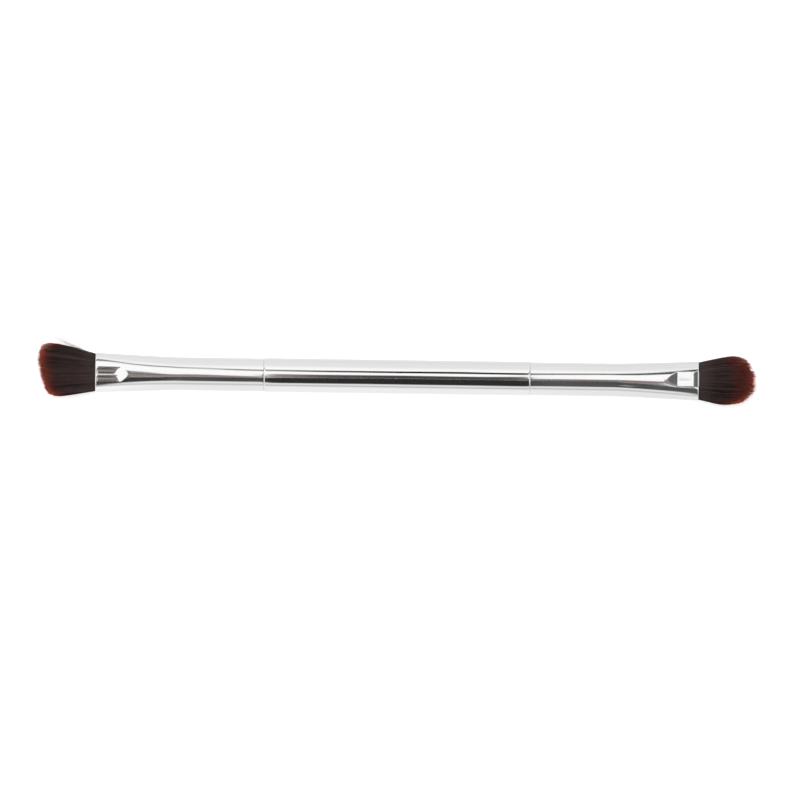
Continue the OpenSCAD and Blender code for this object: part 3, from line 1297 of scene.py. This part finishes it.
@dataclass
class Card:
    """A curved card above the brush that only its bright metal reflects.

    Its edges are (x, lower angle, upper angle) at places along the brush, and its levels are
    (x, level): 1 gives the card its full colour there, and 0 leaves it black. Its soft edges
    fade to the tone around it.
    """

    name: str
    tone: Colour
    edges: list[tuple[float, float, float]]
    levels: list[tuple[float, float]]
    soft_low: float = 4.0
    soft_high: float = 4.0
    radius: float = 150.0
    around: Colour = WHITE
    across: int = 24
    along: int = 400

    def build(self) -> bpy.types.Object:
        """Builds the card with its tone and with the softness of its edges.

        Returns:
            The card.
        """
        edges, levels = np.array(self.edges, float), np.array(self.levels, float)
        xs = np.linspace(edges[0, 0], edges[-1, 0], self.along)
        low = np.interp(xs, edges[:, 0], edges[:, 1])[:, None]
        high = np.interp(xs, edges[:, 0], edges[:, 2])[:, None]
        degrees = mix(low, high, np.linspace(0, 1, self.across)[None, :])
        turn = np.radians(degrees)
        x = np.repeat(xs[:, None], self.across, 1)
        points = np.stack([x, self.radius * np.sin(turn), self.radius * np.cos(turn)], 2)
        finish = CardTone(f"{self.name}_tone", self.tone, self.around)
        faces = grid_faces(self.along, self.across)
        card = make_piece(self.name, points.reshape(-1, 3), faces, finish.material())
        rim = np.minimum((degrees - low) / self.soft_low, (high - degrees) / self.soft_high)
        soft = 1 - np.clip(rim, 0, 1)
        level = np.interp(xs, levels[:, 0], levels[:, 1])
        carry(card, {
            "soft": (soft * soft * (3 - 2 * soft)).reshape(-1),
            "level": np.repeat(level, self.across),
        })
        hide_from_all_but_metal(card)
        return card


@dataclass
class FloorCard:
    """A pale sheet on the floor beside the brush, for its flanks to reflect.

    Its levels are (x, level) along the brush. It starts at so far from the axis, towards +Y if
    that is more than 0, and comes to its full tone over the fade.
    """

    name: str
    levels: list[tuple[float, float]]
    start: float
    fade: float
    depth: float = 600.0
    start_soft: float = 0.6
    lift: float = 0.02

    def build(self, floor_z: float) -> bpy.types.Object:
        """Lays the sheet just above the floor.

        Args:
            floor_z: the floor's height.

        Returns:
            The sheet.
        """
        side = math.copysign(1.0, self.start)
        ys = [self.start, self.start + side * self.fade, self.start + side * self.depth]
        points = np.array([(x, y, floor_z + self.lift) for x, _ in self.levels for y in ys])
        faces = grid_faces(len(self.levels), len(ys))
        finish = CardTone(f"{self.name}_tone", WHITE)
        card = make_piece(self.name, points, faces, finish.material())
        carry(card, {
            "soft": np.tile([self.start_soft, 0.0, 0.0], len(self.levels)),
            "level": np.repeat([level for _, level in self.levels], len(ys)),
        })
        hide_from_all_but_metal(card)
        return card


def hide_from_all_but_metal(card: bpy.types.Object) -> None:
    """Leaves a studio card to be seen in reflections alone.

    Args:
        card: the card.
    """
    for ray in ("camera", "diffuse", "transmission", "volume_scatter", "shadow"):
        setattr(card, f"visible_{ray}", False)


@dataclass
class Studio:
    """White floor, soft light, cards for the metal to reflect, and the camera above."""

    floor_z: float
    cards: list[Card]
    floor_cards: list[FloorCard]
    floor_turns: int = 96
    floor_radii: tuple[float, ...] = (200.0, 1000.0, 6000.0)
    lamp_power: float = 0.55
    lamp_size: float = 900.0
    lamp_reach: float = 1100.0
    lamp_side: tuple[float, float, float] = (-0.25, 0.35, 0.9)
    sky: float = 0.55
    floor_glow: float = 0.62
    view_width: float = 191.95
    view_centre: tuple[float, float] = (0.8, -5.57)
    view_z: float = 4.0
    camera_height: float = 2400.0
    camera_roll_deg: float = 0.82
    sensor: float = 36.0

    def floor(self) -> None:
        """Lays the floor that the brush rests on."""
        count = self.floor_turns
        turns = np.linspace(0, 2 * math.pi, count, endpoint=False)
        rings = [np.zeros((1, 3))]
        for radius in self.floor_radii:
            rings.append(np.stack([radius * np.cos(turns), radius * np.sin(turns), 0 * turns], 1))
        points = np.concatenate(rings) + np.array([0, 0, self.floor_z])
        faces = [(0, 1 + i, 1 + (i + 1) % count) for i in range(count)]
        around = ring_faces(len(self.floor_radii), count, False)
        faces += [tuple(1 + n for n in f)[::-1] for f in around]
        tone = PaleFloor("pale_floor", (0.8, 0.8, 0.8, 1.0), self.floor_glow)
        make_piece("floor", points, faces, tone.material())

    def backdrop(self) -> None:
        """Surrounds the floor with white, and lights it softly from all round."""
        world = bpy.data.worlds.new("white_surround")
        bpy.context.scene.world = world
        shader = Shader(world)
        strength = self.sky + (1 - self.sky) * shader.seen()
        light = shader.node("ShaderNodeBackground", {}, {"Color": WHITE, "Strength": strength})
        shader.node("ShaderNodeOutputWorld", {}, {"Surface": light.outputs[0]})

    def key_light(self) -> None:
        """Hangs one broad soft lamp above and behind the brush."""
        lamp = bpy.data.lights.new("soft_key", "AREA")
        lamp.shape = "DISK"
        lamp.size = self.lamp_size * MM
        lamp.energy = self.lamp_power * math.pi**2 * (self.lamp_reach * MM) ** 2
        holder = bpy.data.objects.new("soft_key", lamp)
        away = Vector(self.lamp_side).normalized()
        holder.location = away * self.lamp_reach * MM
        holder.rotation_euler = (-away).to_track_quat("-Z", "Y").to_euler()
        holder.visible_glossy = False
        bpy.context.scene.collection.objects.link(holder)

    def camera(self) -> None:
        """Sets a long lens straight above the brush, in the photograph's framing."""
        lens = bpy.data.cameras.new("camera_above")
        lens.sensor_width = self.sensor
        lens.lens = self.sensor * (self.camera_height - self.view_z) / self.view_width
        lens.clip_end = 100.0
        holder = bpy.data.objects.new("camera_above", lens)
        x, y = self.view_centre
        holder.location = (x * MM, y * MM, self.camera_height * MM)
        holder.rotation_euler = (0.0, 0.0, math.radians(self.camera_roll_deg))
        bpy.context.scene.collection.objects.link(holder)
        bpy.context.scene.camera = holder

    def build(self) -> None:
        """Sets up the whole studio."""
        self.floor()
        self.backdrop()
        self.key_light()
        for card in self.cards:
            card.build()
        for sheet in self.floor_cards:
            sheet.build(self.floor_z)
        self.camera()
        bpy.context.scene.view_settings.view_transform = "Standard"
        cards = len(self.cards) + len(self.floor_cards)
        log.info("studio: floor, surround, lamp, %d cards and camera", cards)


def studio_cards() -> list[Card]:
    """The cards round the brush: dark above it, pale on either side, and a thin dark strip.

    Returns:
        The cards. Where two overlap, the metal reflects the one of smaller radius.
    """
    grey = (1.0, 0.98, 0.97, 1.0)
    warm = (1.0, 0.84, 0.79, 1.0)
    cool = (1.0, 1.0, 1.01, 1.0)
    pale = (0.8, 0.8, 0.8, 1.0)
    dusk = (0.03, 0.028, 0.027, 1.0)
    return [
        Card("dark_card", grey, [
            (-95, -75, -8), (-84, -75, -8), (-82, -67, -8), (-79.5, -59, -8), (-77, -55.5, -8),
            (-73, -54, -8), (-66, -53, -8), (-52, -54, -8), (-45, -54, -13), (-38, -53.5, -13),
            (-34.5, -51.5, -13), (-33.8, -51.5, -13), (-33.6, -55, -25), (-33.2, -58, -25),
            (-32.9, -59, -8), (-22, -58.5, -8), (-10, -57.3, -8), (24, -57.3, -8),
            (33.4, -58.5, -8), (33.8, -56, -8), (77.5, -56, -8), (78.5, -70, -8), (140, -72, -8),
        ], [
            (-95, 0.0), (-70, 0.0), (-60, 0.065), (-50, 0.04), (-38, 0.025), (-33.8, 0.05),
            (-33.4, 0.018), (33.4, 0.018), (33.8, 0.04), (40, 0.06), (50, 0.055), (60, 0.03),
            (76, 0.06), (86, 0.045), (140, 0.02),
        ], soft_low=7.0, soft_high=0.1, around=pale),
        Card("warm_card", warm, [
            (-95, -22, 10), (-80, -23, 10), (-76, -25, 7), (-70, -24, 0), (-66, -22, -3),
            (-62, -20, -2.5), (-58, -20, -1), (-50, -20, 1), (-45, -20, -4), (-41, -20, -6),
            (-35.3, -20, -10), (-34.8, -20, 2), (-33.8, -20, 2), (-33.6, -20, -19.5),
            (-33.2, -20, -19.5), (-32.9, -19, 5), (-31.3, -18, 9), (-19, -15, 8), (0, -12, 10),
            (22, -12, 9), (29, -12, 12), (31.2, -13, 12), (31.4, -13, 15), (33.4, -14, 15),
            (33.8, -14, -1), (36, -14, 0), (46, -11, 2), (58, -11, 2), (66, -17, 2),
            (78, -18, 1), (83.8, -18, 1), (84.3, -24, 9.5), (100, -24, 9.5),
        ], [
            (-95, 0.25), (-45, 0.25), (-35, 0.3), (-33.5, 0.36), (-30, 0.26), (-18, 0.09), (0, 0.06),
            (26, 0.07), (34, 0.14), (60, 0.2), (100, 0.22),
        ], soft_low=0.1, soft_high=4.0, radius=148.0),
        Card("brown_edge_card", grey, [
            (-82, -11, 0), (-73, -13, -2), (-66, -13, -5), (-60, -10, -4), (-54, -9, -4),
        ], [(-82, 0.13), (-73, 0.09), (-60, 0.14), (-54, 0.25)],
             soft_low=4.0, soft_high=3.0, radius=147.5, around=(0.25, 0.21, 0.2, 1.0)),
        Card("press_dark_card", grey, [(-95, -27, 6.5), (-84.8, -27, 6.5)],
             [(-95, 0.01), (-84, 0.01)], soft_low=0.1, soft_high=1.0, radius=147.0),
        Card("press_warm_card", (1.0, 0.81, 0.73, 1.0), [(-95, -15.5, -4), (-84.8, -15.5, -4)],
             [(-95, 0.28), (-84, 0.28)], soft_low=3.0, soft_high=3.0, radius=146.5, around=dusk),
        Card("wedge_card", WHITE, [(79.3, -24.5, -9), (83.8, -24.5, -9)],
             [(79, 0.95), (84, 0.95)], soft_low=1.0, soft_high=1.0, radius=147.4),
        Card("mouth_light_card", WHITE, [(91, -29, -5), (140, -29, -5)],
             [(91, 0.97), (140, 0.97)], soft_low=1.0, soft_high=1.0, radius=147.2),
        Card("glint_card", WHITE, [(62.7, -43, -31), (63.7, -43, -31)],
             [(62, 1.0), (65, 1.0)], soft_low=3.0, soft_high=3.0, radius=145.0, around=dusk),
        Card("thin_strip", cool, [
            (-200, 44.5, 56.5), (-84, 44.5, 56.5), (-82, 48, 60), (-80.5, 50.5, 63.5),
            (-77, 48.5, 61.5), (-74.5, 42, 54), (-71, 38.5, 50), (-60, 38, 50), (-50, 34, 46),
            (-44, 29, 41), (-36, 24.5, 36.5), (-33.8, 25, 37), (-33.3, 24.5, 37.5), (-21, 22.5, 36),
            (0, 22.5, 37), (17, 24, 40), (24, 23.5, 37.5), (33.4, 22, 38), (33.8, 25.5, 37.5),
            (36, 26, 38), (44, 28.5, 40.5), (52, 32, 44), (62, 31.5, 45), (70, 31, 46),
            (75, 33, 49), (79, 36, 54), (83, 39, 60), (86, 42, 62), (200, 42, 62),
        ], [
            (-200, 0.1), (-83, 0.08), (-78, 0.1), (-74, 0.2), (-66, 0.3), (-58, 0.3), (-52, 0.42),
            (-46, 0.4), (-40, 0.1), (-36, 0.2), (-33, 0.3), (-20, 0.1), (-4, 0.0), (31, 0.0),
            (36, 0.1), (60, 0.1), (74, 0.04), (85, 0.0), (200, 0.0),
        ], soft_low=2.6, soft_high=2.6, radius=146.0),
        Card("pale_card", cool, [
            (-300, 58, 91), (-83, 58, 91), (-76, 52, 91), (-66, 45, 91), (-50, 42, 91),
            (60, 42, 91), (80, 46, 91), (300, 48, 91),
        ], [(-300, 0.8), (-84, 0.8), (40, 0.8), (60, 0.77), (300, 0.77)],
             soft_low=32.0, soft_high=0.5),
        Card("low_card", cool, [(-300, -91, -44), (300, -91, -44)], [
            (-300, 0.97), (-70, 0.95), (-62, 0.82), (-52, 0.78), (-33, 0.79), (-30, 0.84),
            (30, 0.84), (34, 0.83), (60, 0.79), (300, 0.79),
        ], soft_low=0.5, soft_high=0.5, radius=152.0),
        Card("low_pale_card", cool, [
            (-300, -75, -55), (-74, -75, -55), (-66, -79, -57), (-58, -83, -59), (300, -83, -59),
        ], [(-300, 0.56), (-66, 0.56), (-50, 0.54), (300, 0.56)],
             soft_low=9.0, soft_high=12.0, around=(0.84, 0.84, 0.84, 1.0)),
        Card("end_card", grey, [(98, 2, 36), (190, 2, 36)],
             [(98, 0.1), (190, 0.08)], soft_low=3.0, soft_high=3.0, radius=147.0),
        Card("slit_card", grey, [(84.0, 14.8, 17.2), (86.6, 15.2, 16.9)],
             [(84.0, 0.0), (86.6, 0.75)], soft_low=0.5, soft_high=0.5, radius=146.8,
             across=8, along=20),
    ]


def floor_cards() -> list[FloorCard]:
    """The pale sheets on the floor behind and before the brush.

    Returns:
        The sheets.
    """
    return [
        FloorCard("floor_card_behind", [
            (-700, 0.79), (-30, 0.78), (30, 0.77), (60, 0.75), (700, 0.75),
        ], start=4.0, fade=8.0),
        FloorCard("floor_card_before", [
            (-700, 0.93), (-70, 0.93), (-60, 0.86), (-35, 0.84), (-30, 0.89), (30, 0.89),
            (36, 0.86), (60, 0.81), (700, 0.81),
        ], start=-4.0, fade=6.0),
    ]


def main() -> None:
    """Builds the brush in order, reports each piece and sets up the studio."""
    logging.basicConfig(level=logging.INFO, format="%(message)s")
    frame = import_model()
    sleeve_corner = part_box("handle_sleeve")[1]
    seam_x, sleeve_r = sleeve_corner.x / MM, sleeve_corner.z / MM
    mouth_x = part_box("domed_ferrule")[1].x / MM

    angled = PressedTube(End.ANGLED, 9.6, mouth_x, seam_x, roll_deg=4.0, crease_v=0.6,
                         crease_back=0.42)
    domed = PressedTube(End.DOMED, 9.5, mouth_x, seam_x, roll_deg=-7.0, groove_depth=0.012,
                        mouth_dip=0.17, dip_len=1.5, facet_len=2.4, skew=0.08)
    sleeve_metal = BrightMetal(
        "polished_sleeve", (0.97, 0.965, 0.96, 1.0), roughness=0.05, haze=0.01
    )
    ferrule_metal = BrightMetal(
        "polished_ferrule", (0.97, 0.968, 0.965, 1.0), roughness=0.07, haze=0.04
    )
    fibre = DarkFibre(
        "dark_red_tipped_fibre",
        body=(0.0085, 0.0048, 0.0048, 1.0),
        body_light=(0.08, 0.047, 0.045, 1.0),
        root=(0.082, 0.062, 0.061, 1.0),
        dye=(0.13, 0.019, 0.010, 1.0),
        dye_light=(0.43, 0.066, 0.034, 1.0),
        glow_tip=(0.85, 0.19, 0.10, 1.0),
        bleached=(0.75, 0.68, 0.66, 1.0),
    )

    HandleSleeve(2 * seam_x, sleeve_r).build(sleeve_metal.material())
    metal = ferrule_metal.material()
    Ferrule(angled).build(metal)
    Ferrule(domed).build(metal)
    tufts = [
        Tuft(
            angled, length=14.0, long_w=7.1, short_w=6.1, long_shoulder=10.4, short_shoulder=8.0,
            slant=1.6, corner=5.0, long_fan=12.0, short_fan=11.5, face_drop=1.3, tip_thick=2.0,
            dye_len=3.15, dye_low=3.6, strays=18, seed=11, worn=0.52,
        ),
        Tuft(
            domed, length=13.7, long_w=6.15, short_w=5.65, long_shoulder=7.8, short_shoulder=6.3,
            slant=0.0, corner=2.4, long_fan=8.8, short_fan=6.4, face_drop=3.4, tip_thick=1.3,
            dye_len=4.9, dye_low=5.2, strays=0, seed=23, slit_u=0.5,
        ),
    ]
    hair = fibre.material()
    for tuft in tufts:
        tuft.heart(hair)
        tuft.fibres(hair)
    InnerParts(frame["nodes"]).dress({
        "handle_core": MouldedPlastic("grey_core_plastic", (0.05, 0.05, 0.055, 1.0)).material(),
        "glue_plug": SetResin("amber_resin", (0.5, 0.26, 0.06, 1.0), (0.22, 0.09, 0.02, 1.0)).material(),
        "binding_thread": TwistedThread(
            "pale_binding_thread", (0.72, 0.66, 0.52, 1.0), (0.4, 0.34, 0.24, 1.0)
        ).material(),
    })

    Studio(floor_z=-sleeve_r, cards=studio_cards(), floor_cards=floor_cards()).build()


if __name__ == "__main__":
    main()
